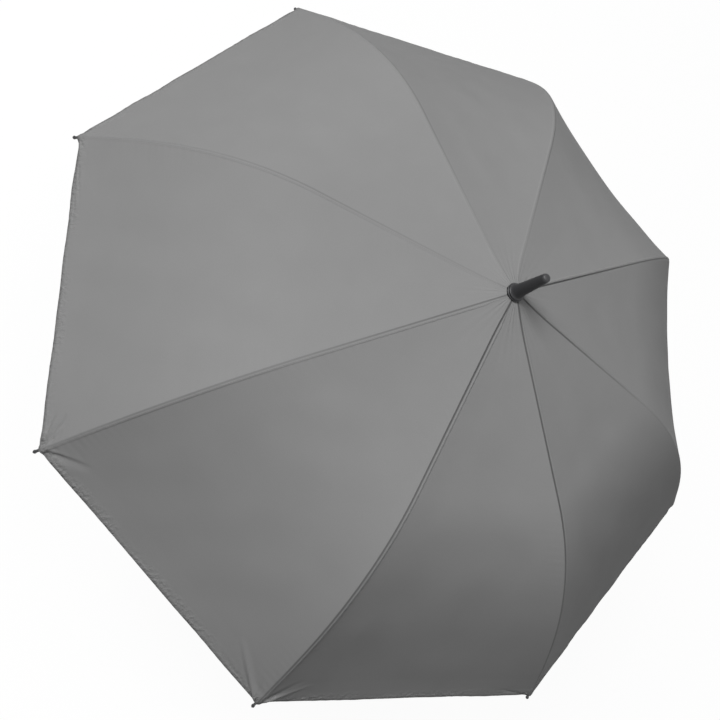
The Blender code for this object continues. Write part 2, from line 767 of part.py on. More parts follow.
COLLAR_HEIGHT = 0.055
COLLAR_RADIUS = 0.0135
COLLAR_NECK = 0.0105
COLLAR_FOOT = COLLAR_TOP - COLLAR_HEIGHT
BUTTON_WIDTH = 0.009
BUTTON_HEIGHT = 0.014
BUTTON_PROUD = 0.0030
BUTTON_TRAVEL = 0.0025
BUTTON_ROUND = 0.0020
POCKET_FLOOR = SHAFT_RADIUS + 4 * GAP
BUTTON_Z = COLLAR_TOP - 0.024


def make_collar(mat):
    """The moulded collar on the crook, bored for the shaft, with a pocket for the button."""
    bore = SHAFT_RADIUS + GAP
    top, foot = COLLAR_TOP, COLLAR_FOOT
    shoulder = COLLAR_RADIUS - COLLAR_NECK
    profile = [
        (COLLAR_NECK - EDGE, top),
        (COLLAR_NECK, top - EDGE),
        (COLLAR_NECK + shoulder / 2, top - shoulder),
        (COLLAR_RADIUS, top - 3 * shoulder),
        (COLLAR_RADIUS, foot + 3 * EDGE),
        (COLLAR_RADIUS - EDGE, foot),
        (bore, foot),
        (bore, top),
    ]
    body = turned("handle_collar", profile)
    half = BUTTON_WIDTH / 2 + GAP
    rise = BUTTON_HEIGHT / 2 + GAP
    mouth = (-COLLAR_RADIUS - OVERRUN, -half, BUTTON_Z - rise)
    pocket = block(mouth, (-POCKET_FLOOR, half, BUTTON_Z + rise))
    mesh = worked("handle_collar", body, [("DIFFERENCE", cutter("button_pocket", [pocket]))])
    return add("handle_collar", smooth(mesh), mat)


def make_button(mat):
    """The push button, which slides into the collar."""
    inner = POCKET_FLOOR + BUTTON_TRAVEL + GAP
    outer = COLLAR_RADIUS + BUTTON_PROUD
    half, rise = BUTTON_WIDTH / 2, BUTTON_HEIGHT / 2
    bm = block((-outer, -half, -rise), (-inner, half, rise))
    face = [e for e in bm.edges if all(v.co.x < -inner - GAP for v in e.verts)]
    bmesh.ops.bevel(bm, geom=face, offset=BUTTON_ROUND, segments=3, affect="EDGES", profile=0.5)
    mesh = bpy.data.meshes.new("push_button")
    bm.to_mesh(mesh)
    bm.free()
    return add("push_button", smooth(mesh), mat, location=(0, 0, BUTTON_Z))


CROOK_DROP = 0.060  # from the origin down to the start of the bend
CROOK_RISE = 0.020  # of the free end after the bend
CROOK_SIDES = 4
BEND_POINTS = 16
SHAFT_SEAT = SHAFT_RADIUS + GAP


def make_crook(mat):
    """A round bar bent into a hook, with a rounded free end and a blind bore for the shaft."""
    r = GRIP_RADIUS
    top = COLLAR_FOOT - GAP
    line = [(0, top, 1), (0, SHAFT_FOOT, 1)]
    for i in range(BEND_POINTS + 1):
        angle = pi * i / BEND_POINTS
        line.append((HOOK_RADIUS * (1 - cos(angle)), -CROOK_DROP - HOOK_RADIUS * sin(angle), 1))
    end = -CROOK_DROP + CROOK_RISE
    line.append((2 * HOOK_RADIUS, end - r, 1))
    for i in (1, 2, 3, 4):
        turn = pi / 2 * i / 4.4
        line.append((2 * HOOK_RADIUS, end - r + r * sin(turn), cos(turn)))
    curve = bpy.data.curves.new("handle_crook", "CURVE")
    curve.dimensions = "3D"
    curve.bevel_depth = r
    curve.bevel_resolution = CROOK_SIDES
    curve.use_fill_caps = True
    spline = curve.splines.new("POLY")
    spline.points.add(len(line) - 1)
    for point, (x, z, share) in zip(spline.points, line):
        point.co = (x, 0, z, 1)
        point.radius = share
    ob = bpy.data.objects.new("handle_crook", curve)
    parts.objects.link(ob)
    bar = baked(ob)
    bar.materials.clear()
    bm = bmesh.new()
    bm.from_mesh(bar)
    bmesh.ops.remove_doubles(bm, verts=bm.verts, dist=MERGE)
    bmesh.ops.recalc_face_normals(bm, faces=bm.faces)
    bm.to_mesh(bar)
    bm.free()
    bore = rod(SHAFT_SEAT, (0, 0, SHAFT_FOOT - GAP), (0, 0, top + OVERRUN), ROUND)
    mesh = worked("handle_crook", bar, [("DIFFERENCE", cutter("crook_bore", [bore]))])
    return add("handle_crook", smooth(mesh), mat)


parts, cutters = start_collections()

steel = material("plated_steel", (0.55, 0.56, 0.57), 0.3, 1.0)
rib_steel = material("rib_steel", (0.08, 0.08, 0.085), 0.35, 0.9)
plastic = material("black_plastic", (0.015, 0.015, 0.016), 0.4)
grip = material("grip_rubber", (0.02, 0.02, 0.021), 0.6)
button_grey = material("button_plastic", (0.30, 0.30, 0.31), 0.35)
cloth = material("grey_cloth", (0.26, 0.26, 0.26), 0.8)

make_shaft(steel)
make_crown(plastic)
wire_ring("crown_wire", PIVOT_RADIUS, steel, CROWN_Z)
make_crown_pin(steel)
make_washer(plastic)
make_ferrule(plastic)
make_spring(steel)
make_collar(plastic)
make_button(button_grey)
make_crook(grip)

make_runner(plastic)
wire_ring("runner_wire", RUNNER_WIRE_CIRCLE, steel, RUNNER_Z)
make_plunger(steel)

rib_mesh = make_rib_mesh(rib_steel)
tip_mesh = make_tip_mesh(plastic)
stretcher_mesh = make_stretcher_mesh(rib_steel)
left_mesh = make_half_panel_mesh("half_panel_left", 1, cloth)
right_mesh = make_half_panel_mesh("half_panel_right", -1, cloth)
joint_x, joint_z = ARM * cos(ARM_SLOPE), -ARM * sin(ARM_SLOPE)
end_x, end_z, _ = (float(v) for v in rib_line(RIB_LENGTH))
pleat_x, pleat_z = pleat_origin()

for i, angle in enumerate(RIB_ANGLES):
    number = i + 1
    add(f"rib_{number}", rib_mesh, rib_steel, in_rib_plane(0, 0, angle), (0, 0, angle))
    add(f"rib_tip_{number}", tip_mesh, plastic, in_rib_plane(end_x, end_z, angle), (0, TIP_SLOPE, angle))
    turn = (0, ARM_SLOPE, angle + pi)
    add(f"stretcher_{number}", stretcher_mesh, rib_steel, in_rib_plane(joint_x, joint_z, angle), turn)
    pleat = in_rib_plane(pleat_x, pleat_z, angle)
    add(f"canopy_{number}_left", left_mesh, cloth, pleat, (0, 0, angle))
    add(f"canopy_{number}_right", right_mesh, cloth, pleat, (0, 0, angle))

print("runner: %.5f m below the crown, travel %.5f m" % (RUNNER_DROP, RUNNER_TRAVEL))
print("rib joint at x %.5f z %.5f, rib end at x %.5f z %.5f" % (joint_x, joint_z, end_x, end_z))
print("fold axis at x %.5f z %.5f, slope %.3f deg" % (pleat_x, pleat_z, degrees(chord_slope())))
print("crown at z %.5f, washer at z %.5f, ferrule at z %.5f" % (CROWN_Z, WASHER_Z, FERRULE_Z))
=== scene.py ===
"""The looks of a grey stick umbrella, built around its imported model. Metres, +Z up along the shaft."""
import json

import bpy
import numpy as np
from mathutils import Matrix, Vector


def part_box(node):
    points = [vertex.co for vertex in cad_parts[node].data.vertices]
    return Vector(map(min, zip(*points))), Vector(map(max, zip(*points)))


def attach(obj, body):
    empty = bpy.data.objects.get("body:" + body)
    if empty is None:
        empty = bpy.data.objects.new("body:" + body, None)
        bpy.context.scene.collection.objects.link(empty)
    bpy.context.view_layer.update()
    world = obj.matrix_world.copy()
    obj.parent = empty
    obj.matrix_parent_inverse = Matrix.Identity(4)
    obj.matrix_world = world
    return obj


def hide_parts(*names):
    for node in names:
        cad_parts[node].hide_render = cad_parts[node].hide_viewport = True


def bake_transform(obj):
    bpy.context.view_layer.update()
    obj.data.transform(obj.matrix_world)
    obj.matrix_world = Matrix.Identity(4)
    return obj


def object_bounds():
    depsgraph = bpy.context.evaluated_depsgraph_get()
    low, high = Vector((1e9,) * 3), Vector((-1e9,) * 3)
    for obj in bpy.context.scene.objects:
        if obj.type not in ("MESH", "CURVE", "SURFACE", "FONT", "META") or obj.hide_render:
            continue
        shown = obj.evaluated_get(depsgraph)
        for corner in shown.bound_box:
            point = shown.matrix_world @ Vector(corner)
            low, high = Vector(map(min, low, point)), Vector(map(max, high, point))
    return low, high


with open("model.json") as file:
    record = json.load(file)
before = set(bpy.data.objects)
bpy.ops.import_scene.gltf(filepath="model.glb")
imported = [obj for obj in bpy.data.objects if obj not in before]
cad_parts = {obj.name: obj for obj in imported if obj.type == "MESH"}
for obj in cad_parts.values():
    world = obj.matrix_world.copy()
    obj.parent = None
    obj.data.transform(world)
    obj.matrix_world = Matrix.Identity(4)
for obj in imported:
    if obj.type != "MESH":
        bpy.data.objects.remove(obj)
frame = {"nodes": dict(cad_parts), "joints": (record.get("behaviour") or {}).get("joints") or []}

cad_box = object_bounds()


# Camera, lamps and floor. The umbrella stands upright and is seen from above and a little to its front,
# with the camera rolled, so that the canopy fills the picture and hides the shaft and the handle.

hinges = {joint["name"]: joint for joint in frame["joints"]}
rib_pivot = Vector(hinges["rib_hinge_1"]["pos_m"])
CROWN_Z = rib_pivot.z
PIVOT_RADIUS = rib_pivot.xy.length
CANOPY_RADIUS = -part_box("canopy_1_left")[0].y
APEX_RISE = 0.0084  # of the point where the canopy's inner cone would meet the shaft's axis
LENS_MM = 43.0
SENSOR_MM = 36.0
CAMERA_PLACE_SHARES = Vector((0.1658, -1.2253, 1.5209))  # of the canopy's radius, from its apex
VIEW_AZIMUTH = np.radians(8.44)
VIEW_ELEVATION = np.radians(62.07)
VIEW_ROLL = np.radians(64.14)


def add_camera():
    """A camera on the canopy's apex plus shares of its radius, turned by azimuth, elevation and roll."""
    camera = bpy.data.objects.new("camera", bpy.data.cameras.new("camera"))
    bpy.context.scene.collection.objects.link(camera)
    camera.data.lens = LENS_MM
    camera.data.sensor_width = SENSOR_MM
    apex = Vector((0, 0, CROWN_Z + APEX_RISE))
    turn = Matrix.Rotation(VIEW_AZIMUTH, 4, "Z") @ Matrix.Rotation(np.pi / 2 - VIEW_ELEVATION, 4, "X")
    place = Matrix.Translation(apex + CAMERA_PLACE_SHARES * CANOPY_RADIUS)
    camera.matrix_world = place @ turn @ Matrix.Rotation(VIEW_ROLL, 4, "Z")
    bpy.context.scene.camera = camera


LAMP_DISTANCE = 4.0
SKY_LEVEL = 0.01
# Name, direction from the canopy, width in metres and level of brightness
LAMPS = (
    ("key", (-0.492, -0.413, 0.766), 1.6, 0.83),
    ("top", (0.0, 0.0, 1.0), 2.4, 0.37),
)


def add_lamp(name, towards, size, level):
    """A large square lamp in a direction from the canopy. Its power gives a face that is turned to it
    the level of brightness: level * pi^2 * distance^2."""
    data = bpy.data.lights.new(name, "AREA")
    data.size = size
    data.energy = level * (np.pi * LAMP_DISTANCE) ** 2
    lamp = bpy.data.objects.new(name, data)
    bpy.context.scene.collection.objects.link(lamp)
    lamp.location = Vector((0, 0, CROWN_Z)) + towards.normalized() * LAMP_DISTANCE
    lamp.rotation_mode = "QUATERNION"
    lamp.rotation_quaternion = towards.to_track_quat("Z", "Y")


def add_node(tree, kind, links=(), **values):
    """A node with its settings; links are (socket name or number, source socket or value)."""
    made = tree.nodes.new("ShaderNode" + kind)
    for name, value in values.items():
        setattr(made, name, value)
    for socket, source in links:
        if isinstance(source, bpy.types.NodeSocket):
            tree.links.new(source, made.inputs[socket])
        else:
            made.inputs[socket].default_value = source
    return made


def maths(tree, operation, *terms):
    """The output of a Math node on up to three numbers or sockets."""
    return add_node(tree, "Math", list(enumerate(terms)), operation=operation).outputs[0]


def ramp(tree, value, low, high, start=0.0, end=1.0):
    """The start value up to low, the end value from high on, and a straight line between them."""
    links = [("Value", value), ("From Min", low), ("From Max", high), ("To Min", start), ("To Max", end)]
    return add_node(tree, "MapRange", links).outputs[0]


def seen_directly(tree):
    """1 on rays from the camera, from a gloss and through glass, which show the white background."""
    path = add_node(tree, "LightPath").outputs
    seen = maths(tree, "MAXIMUM", path["Is Camera Ray"], path["Is Glossy Ray"])
    return maths(tree, "MAXIMUM", seen, path["Is Transmission Ray"])


def add_sky():
    """A grey sky for light, white where it is seen directly."""
    world = bpy.data.worlds.new("sky")
    world.use_nodes = True
    bpy.context.scene.world = world
    tree = world.node_tree
    background = tree.nodes["Background"]
    background.inputs["Color"].default_value = (1, 1, 1, 1)
    level = ramp(tree, seen_directly(tree), 0.0, 1.0, SKY_LEVEL, 1.0)
    tree.links.new(level, background.inputs["Strength"])


def new_material(name, colour, roughness, metallic=0.0):
    """A material, its node tree and its Principled shader."""
    made = bpy.data.materials.new(name)
    made.use_nodes = True
    bsdf = made.node_tree.nodes["Principled BSDF"]
    bsdf.inputs["Base Color"].default_value = colour
    bsdf.inputs["Roughness"].default_value = roughness
    bsdf.inputs["Metallic"].default_value = metallic
    return made, made.node_tree, bsdf


FLOOR_HALF = 9.0
FLOOR_TONE = (0.30, 0.30, 0.30, 1)
FLOOR_ROUGHNESS = 0.9
FLOOR_WHITE = 0.80  # share of the floor's white that is its own in the picture; the rest takes the shadow
FLOOR_GLOW = 1.185  # its strength, so that with the lit rest it comes to white away from the shadow


def add_floor():
    """A wide pale floor just under the crook, white in the picture but for the umbrella's shadow."""
    level = cad_box[0].z
    corners = [(x * FLOOR_HALF, y * FLOOR_HALF, level) for x, y in ((-1, -1), (1, -1), (1, 1), (-1, 1))]
    mesh = bpy.data.meshes.new("floor")
    mesh.from_pydata(corners, [], [(0, 1, 2, 3)])
    floor = bpy.data.objects.new("floor", mesh)
    bpy.context.scene.collection.objects.link(floor)
    finish, tree, bsdf = new_material("pale_floor", FLOOR_TONE, FLOOR_ROUGHNESS)
    white = add_node(tree, "Emission", [("Strength", FLOOR_GLOW)])
    share = maths(tree, "MULTIPLY", seen_directly(tree), FLOOR_WHITE)
    mix = add_node(tree, "MixShader", [("Fac", share), (1, bsdf.outputs[0]), (2, white.outputs[0])])
    tree.links.new(mix.outputs[0], tree.nodes["Material Output"].inputs["Surface"])
    mesh.materials.append(finish)


add_camera()
for name, towards, size, level in LAMPS:
    add_lamp(name, Vector(towards), size, level)
add_sky()
add_floor()
bpy.context.scene.view_settings.view_transform = "Standard"


# Shaft: a drawn steel tube with satin nickel plating. The hinge wires, the crown's pin, the tension
# spring and the plunger inside the tube are plated steel too.

STEEL_TONE = (0.56, 0.57, 0.58, 1)
STEEL_ROUGHNESS = (0.22, 0.38)
DRAW_LINES = 900.0  # drawing marks a metre across the tube
DRAW_STRETCH_SHARE = 0.02  # of that frequency along the tube


def new_group(name, inputs, outputs):
    """A shader node group with its inputs and outputs, both given as (name, kind)."""
    tree = bpy.data.node_groups.new(name, "ShaderNodeTree")
    for direction, sockets in (("INPUT", inputs), ("OUTPUT", outputs)):
        for label, kind in sockets:
            tree.interface.new_socket(label, in_out=direction, socket_type="NodeSocket" + kind)
    return tree, tree.nodes.new("NodeGroupInput").outputs, tree.nodes.new("NodeGroupOutput").inputs


def place_group(tree, group, links):
    """A copy of a shader node group in a material."""
    return add_node(tree, "Group", links, node_tree=group).outputs


def scaled(tree, colour, by):
    """A colour times a number."""
    return add_node(tree, "VectorMath", [(0, colour), ("Scale", by)], operation="SCALE").outputs[0]


FINE_DETAIL = 4.0
FINE_SHARE = 0.6  # of the fine marks in the sum; the rest is the patches'
PATCHES = 60.0  # a metre
PATCH_DETAIL = 3.0
MARK_SPAN = (0.3, 0.7)  # of the noise, over which the roughness changes


def make_marks_group():
    """Fine marks: noise stretched by a scale vector, plus some patchy noise, gives a roughness, a tone
    times 1 + change * (noise - 0.5), and a bump height."""
    inputs = [
        ("Scale", "Vector"), ("Roughness Low", "Float"), ("Roughness High", "Float"),
        ("Tone", "Color"), ("Tone Change", "Float"),
    ]
    outputs = [("Roughness", "Float"), ("Color", "Color"), ("Height", "Float")]
    tree, given, out = new_group("fine_marks", inputs, outputs)
    place = add_node(tree, "TexCoord").outputs["Object"]
    links = [(0, place), (1, given["Scale"])]
    spread = add_node(tree, "VectorMath", links, operation="MULTIPLY").outputs[0]
    fine = add_node(tree, "TexNoise", [("Vector", spread), ("Scale", 1.0), ("Detail", FINE_DETAIL)])
    mark = fine.outputs["Fac"]
    broad = add_node(tree, "TexNoise", [("Vector", place), ("Scale", PATCHES), ("Detail", PATCH_DETAIL)])
    patch = maths(tree, "MULTIPLY", broad.outputs["Fac"], 1 - FINE_SHARE)
    both = maths(tree, "MULTIPLY_ADD", mark, FINE_SHARE, patch)
    rough = ramp(tree, both, *MARK_SPAN, given["Roughness Low"], given["Roughness High"])
    change = maths(tree, "MULTIPLY_ADD", maths(tree, "SUBTRACT", both, 0.5), given["Tone Change"], 1.0)
    tree.links.new(rough, out["Roughness"])
    tree.links.new(scaled(tree, given["Tone"], change), out["Color"])
    tree.links.new(mark, out["Height"])
    return tree


fine_marks = make_marks_group()
MARK_CHANGE = 0.2  # of the tone
MARK_RELIEF = 0.00002


def marked_material(name, tone, roughness, marks, metallic=0.0, stretch=1.0, change=MARK_CHANGE,
                    relief=MARK_RELIEF):
    """A Principled material whose tone, roughness and bump come from so many fine marks a metre; stretch
    is their share of that along Z."""
    made, tree, bsdf = new_material(name, tone, roughness[0], metallic)
    given = place_group(tree, fine_marks, [
        ("Scale", (marks, marks, marks * stretch)), ("Roughness Low", roughness[0]),
        ("Roughness High", roughness[1]), ("Tone", tone), ("Tone Change", change),
    ])
    bump = add_node(tree, "Bump", [("Height", given["Height"]), ("Distance", relief), ("Strength", 1.0)])
    tree.links.new(given["Color"], bsdf.inputs["Base Color"])
    tree.links.new(given["Roughness"], bsdf.inputs["Roughness"])
    tree.links.new(bump.outputs[0], bsdf.inputs["Normal"])
    return made


SMOOTH_ANGLE = np.radians(32)
WELD = 0.00001  # points nearer than this are one point


def make_smooth_group():
    """Joins a node's loose triangles and shades it smooth, but for edges over SMOOTH_ANGLE."""
    tree = bpy.data.node_groups.new("smooth_shading", "GeometryNodeTree")
    tree.interface.new_socket("Geometry", in_out="INPUT", socket_type="NodeSocketGeometry")
    tree.interface.new_socket("Geometry", in_out="OUTPUT", socket_type="NodeSocketGeometry")
    nodes, links = tree.nodes, tree.links
    start, end = nodes.new("NodeGroupInput"), nodes.new("NodeGroupOutput")
    weld = nodes.new("GeometryNodeMergeByDistance")
    weld.inputs["Distance"].default_value = WELD
    soft = nodes.new("GeometryNodeSetShadeSmooth")
    crisp = nodes.new("GeometryNodeSetShadeSmooth")
    crisp.domain = "EDGE"
    crisp.inputs["Shade Smooth"].default_value = False
    angle = nodes.new("GeometryNodeInputMeshEdgeAngle")
    over = nodes.new("FunctionNodeCompare")
    over.data_type = "FLOAT"
    over.operation = "GREATER_THAN"
    over.inputs["B"].default_value = SMOOTH_ANGLE
    links.new(start.outputs[0], weld.inputs["Geometry"])
    links.new(weld.outputs[0], soft.inputs["Geometry"])
    links.new(soft.outputs[0], crisp.inputs["Geometry"])
    links.new(angle.outputs["Unsigned Angle"], over.inputs["A"])
    links.new(over.outputs["Result"], crisp.inputs["Selection"])
    links.new(crisp.outputs[0], end.inputs[0])
    return tree


smooth_shading = make_smooth_group()


def finish_node(name, finish):
    """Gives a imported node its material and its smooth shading."""
    node = frame["nodes"][name]
    node.data.materials.clear()
    node.data.materials.append(finish)
    node.modifiers.new("smooth_shading", "NODES").node_group = smooth_shading


steel = marked_material("satin_plated_steel", STEEL_TONE, STEEL_ROUGHNESS, DRAW_LINES, metallic=1.0,
                        stretch=DRAW_STRETCH_SHARE)
for name in ("shaft_tube", "crown_wire", "crown_pin", "main_spring", "runner_wire", "drive_plunger"):
    finish_node(name, steel)


# Crown and runner: moulded black nylon hubs with a radial notch for each rib or stretcher. The crown is
# pinned to the shaft; the runner slides on it.

NYLON_TONE = (0.020, 0.020, 0.022, 1)
NYLON_ROUGHNESS = (0.38, 0.52)
GRAIN = 2600.0  # grains a metre of a spark-eroded mould
GRAIN_CHANGE = 0.3
GRAIN_RELIEF = 0.00003

nylon = marked_material("black_nylon", NYLON_TONE, NYLON_ROUGHNESS, GRAIN, change=GRAIN_CHANGE,
                        relief=GRAIN_RELIEF)
for name in ("crown", "runner"):
    finish_node(name, nylon)


# Ribs and stretchers: fluted steel strips, black coated. Each stretcher is forked over its rib's lug, and
# each rib ends in a moulded nylon tip, to which the cloth's corner is sewn.

COAT_TONE = (0.030, 0.030, 0.032, 1)
COAT_ROUGHNESS = (0.28, 0.42)
COAT_METALLIC = 0.75
COAT_MARKS = 500.0
COAT_CHANGE = 0.3

coated = marked_material("black_coated_steel", COAT_TONE, COAT_ROUGHNESS, COAT_MARKS,
                         metallic=COAT_METALLIC, change=COAT_CHANGE)
rib_count = sum(name.startswith("rib_hinge") for name in hinges)
for number in range(1, rib_count + 1):
    finish_node(f"rib_{number}", coated)
    finish_node(f"stretcher_{number}", coated)
    finish_node(f"rib_tip_{number}", nylon)


# Canopy: eight gores of grey pongee, sewn along felled seams over the ribs and hemmed at their outer
# edges. Each gore is two half sheets that meet at its middle, because on the real umbrella each half
# folds with its own rib.

RIB_LENGTH = 0.574  # along a rib, from its crown pivot to the cloth's corner
JOINT_DISTANCE = 0.240  # along a rib, where its bend starts
CROWN_SLOPE = np.radians(11.0)
TIP_SLOPE = np.radians(50.9)
LIFT_START = -0.0028  # along a rib, where the cloth lies highest over the crown
CLOTH_START = 0.0005  # along a rib, the edge of the hole, which the washer covers
CLOTH_THICKNESS = 0.0003
RIB_SEAT = 0.0024  # of the cloth's middle over a rib's centreline
TIP_SEAT = 0.0031  # the same over the rib's tip
CROWN_LIFT = 0.0040  # more of it at LIFT_START, where the crown tents the cloth
CROWN_LIFT_END = 0.060  # from LIFT_START, where that ends
TIP_RUN = 0.042  # from the corner back to where the cloth starts to rise onto the tip
TIP_RISE_RUN = 0.030
PANEL_SAG = 0.010
SAG_PEAK_SHARE = 0.66  # of the rib's length, where a gore sags most
HALF_GORE = np.pi / rib_count
LINE_STEPS = 1200


def rib_line(along):
    """Radius, height over the pivots and slope at distances along a rib: straight to the joint, then a
    bend whose slope gains as 1 - (1 - u)^2, summed up in small steps."""
    fine = np.linspace(0, RIB_LENGTH, LINE_STEPS + 1)

    def slope_at(s):
        u = np.clip((s - JOINT_DISTANCE) / (RIB_LENGTH - JOINT_DISTANCE), 0, 1)
        return CROWN_SLOPE + (TIP_SLOPE - CROWN_SLOPE) * (1 - (1 - u) ** 2)

    middle = slope_at((fine[1:] + fine[:-1]) / 2)
    step = RIB_LENGTH / LINE_STEPS
    run = np.concatenate([[0], np.cumsum(np.cos(middle)) * step])
    drop = np.concatenate([[0], np.cumsum(np.sin(middle)) * step])
    back = np.minimum(along, 0)
    radius = PIVOT_RADIUS + np.interp(along, fine, run) + back * np.cos(CROWN_SLOPE)
    height = -np.interp(along, fine, drop) - back * np.sin(CROWN_SLOPE)
    return radius, height, slope_at(along)


def cloth_line(along):
    """The same three values on the cloth, which lies off the rib's centreline by seat + lift * near^2
    towards the crown, and rises in a straight line to the tip's seat."""
    radius, height, slope = rib_line(along)
    near = np.clip(1 - (along - LIFT_START) / CROWN_LIFT_END, 0, 1)
    far = np.clip((along - RIB_LENGTH + TIP_RUN) / TIP_RISE_RUN, 0, 1)
    seat = RIB_SEAT + CROWN_LIFT * near**2 + (TIP_SEAT - RIB_SEAT) * far
    return radius + seat * np.sin(slope), height + seat * np.cos(slope), slope


def tight_cloth(along, across, angle, side):
    """Points of a half gore: a straight line from its rib to the next one at each distance along, less a
    sag that grows as 1 - (1 - across)^2 from the rib to the gore's middle, and along the rib as half a
    sine wave whose top is drawn to SAG_PEAK_SHARE."""
    radius, height, slope = cloth_line(along)
    share = np.clip(along / RIB_LENGTH, 0, 1)
    swell = np.sin(np.pi * share ** (np.log(0.5) / np.log(SAG_PEAK_SHARE)))
    sag = PANEL_SAG * swell * (1 - (1 - across) ** 2)
    turn = 2 * HALF_GORE
    out = radius * (1 - across / 2 + across / 2 * np.cos(turn)) - sag * np.sin(slope) * np.cos(HALF_GORE)
    aside = radius * across / 2 * np.sin(turn) - sag * np.sin(slope) * np.sin(HALF_GORE)
    aside = aside * side
    x = out * np.cos(angle) - aside * np.sin(angle)
    y = out * np.sin(angle) + aside * np.cos(angle)
    return np.stack([x, y, CROWN_Z + height - sag * np.cos(slope)], axis=-1)


# Millimetres from the seam
SEAM_COLUMNS = (0, 0.3, 0.6, 0.9, 1.3, 1.8, 2.4, 3.0, 3.6, 4.2, 4.8, 5.4, 7.0, 9.5, 12.0)
SEAM_FULL_WIDTH = 0.016  # half width of a gore from which the seam has its full size
OPEN_COLUMNS = 46  # more columns, from there to the gore's middle
OPEN_CROWDING = 1.45  # power by which the other columns crowd towards the seam
ROWS = 230
ROW_CROWDING = 1.3  # power by which the rows crowd towards the hem
HEM_ROWS = (0, 0.3, 0.7, 1.6, 3.0, 4.6, 5.2, 5.7, 6.2, 7.5)  # mm from the hem's edge
HEM_HOLLOWS = (2.4, 0.8, 4.2, 3.0, 3.0, 5.0, 4.4, 1.4)  # mm behind the corners' line, gore by gore
CORNER_WIDTH = 0.010  # from a corner, over which the hem runs in to its hollow
MM = 0.001


def half_gore_grid(hollow):
    """Distance along and distance from the seam at each grid point, half the gore's width at each row,
    and the seam's scale there. Columns crowd at the seam, as a share to the power OPEN_CROWDING, and keep
    their real distances where the gore is wide enough. Rows crowd at the hem, as 1 - (1 - share) to the
    power ROW_CROWDING. The hem is hollow between the corners, and the rows follow it in proportion to
    their place: along - hollow * (1 - exp(-(distance / corner width)^2))."""
    hem = np.array(HEM_ROWS) * MM
    share = 1 - (1 - np.linspace(0, 1, ROWS)) ** ROW_CROWDING
    along = CLOTH_START + (RIB_LENGTH - hem[-1] - CLOTH_START) * share
    along = np.concatenate([along[:-1], RIB_LENGTH - hem[::-1]])
    half_width = cloth_line(along)[0] * np.sin(HALF_GORE)
    scale = np.clip(half_width / SEAM_FULL_WIDTH, 0, 1)
    seam = np.array(SEAM_COLUMNS) * MM
    near = scale[:, None] * seam[None, :]
    open_share = np.linspace(0, 1, OPEN_COLUMNS + 1)[1:] ** OPEN_CROWDING
    rest = near[:, -1:] + (half_width[:, None] - near[:, -1:]) * open_share[None, :]
    distance = np.concatenate([near, rest], axis=1)
    pulled = hollow * (1 - np.exp(-((distance / CORNER_WIDTH) ** 2)))
    near_hem = np.clip((along - CLOTH_START) / (RIB_LENGTH - CLOTH_START), 0, 1)[:, None]
    return along[:, None] - pulled * near_hem, distance, half_width[:, None], scale[:, None]


SCALE_LEAST = 0.05  # the scale of the seam's widths isn't taken as less than this
GROOVE_DEPTH = 0.0008
GROOVE_WIDTH = 0.0009
FELL_WIDTH = 0.0042  # of the folded allowance beside the seam, which stands over the rib
FELL_RAISE = 0.0011
FELL_EDGE = 0.0014
FELL_LEAST = 0.1  # share of its height where the seam isn't drawn in
SEAM_STATIONS = (0.08, 0.25, 0.45, 0.56)  # along a rib
# How hard each seam is drawn in at those places, rib by rib; this also sets how deep its painted shade is
SEAM_DRAW_SHARES = (
    (0.55, 0.35, 0.40, 0.15), (0.15, 0.35, 0.05, 0.00), (0.10, 0.40, 0.10, 0.00), (0.15, 0.55, 0.30, 0.20),
    (1.00, 0.70, 0.60, 0.50), (0.80, 0.15, 0.10, 0.10), (0.85, 0.95, 0.55, 0.20), (1.00, 0.80, 0.80, 0.45),
)
HEM_WIDTH = 0.0055
HEM_RAISE = 0.00014
HEM_STEP = 0.0016  # over which the turned hem falls to the single cloth
HEM_CLEAR = (0.004, 0.003)  # from the seam, where the hem has half its relief, and over what width
# Puckers: pitch, height, reach, the waves by which they wander as (radians, length in metres), and the
# length over which they grow and shrink
PUCKER_PITCH = 0.0105
PUCKER_HEIGHT = 0.00016
PUCKER_REACH = 0.014
PUCKER_WANDER = ((0.8, 0.031), (0.5, 0.013))
PUCKER_SWELL = 0.047
PUCKER_CLEAR = 0.002  # from the seam, where they have most of their height
HEM_PUCKER_PITCH = 0.017
HEM_PUCKER_HEIGHT = 0.0002
HEM_PUCKER_REACH = 0.010
HEM_PUCKER_WANDER = ((1.6, 0.027), (0.9, 0.011))
HEM_PUCKER_SWELL = 0.023
SWELL_MEAN = 0.6  # mean height of the puckers, as a share of the most
PHASE_STEP = 2.1  # radians from one rib to the next, so that no two look alike
GATHER_COUNT = 44
GATHER_HEIGHT = 0.00022
GATHER_REACH = 0.030
GATHER_WANDER = (2.5, 3)  # radians, and waves round the crown
GATHER_RISE = 4  # they have their full height from reach / 4 on
LOOSE_DISTANCE = 0.05  # from a seam, where the cloth is free to wave
WAVE_HEIGHT = 0.00045
WAVE_LENGTHS = (0.05, 0.16)
WAVE_COUNT = 14
WAVE_SEED = 8

rng = np.random.default_rng(WAVE_SEED)
wave_turns = rng.uniform(0, 2 * np.pi, (2, WAVE_COUNT))
wave_sizes = np.exp(rng.uniform(*np.log(WAVE_LENGTHS), WAVE_COUNT))


def soft_step(x, edge, width):
    """0 before the edge and 1 after it, by u^2 * (3 - 2u) over a width with the edge in its middle."""
    u = np.clip((x - edge) / width + 0.5, 0, 1)
    return u * u * (3 - 2 * u)


def slow_waves(point):
    """Sine waves over the plan, each with its own length, direction and phase: their sum over the root
    of their count."""
    total = 0
    for length, turn, phase in zip(wave_sizes, wave_turns[0], wave_turns[1]):
        run = point[..., 0] * np.cos(turn) + point[..., 1] * np.sin(turn)
        total = total + np.sin(2 * np.pi / length * run + phase)
    return total / np.sqrt(WAVE_COUNT)


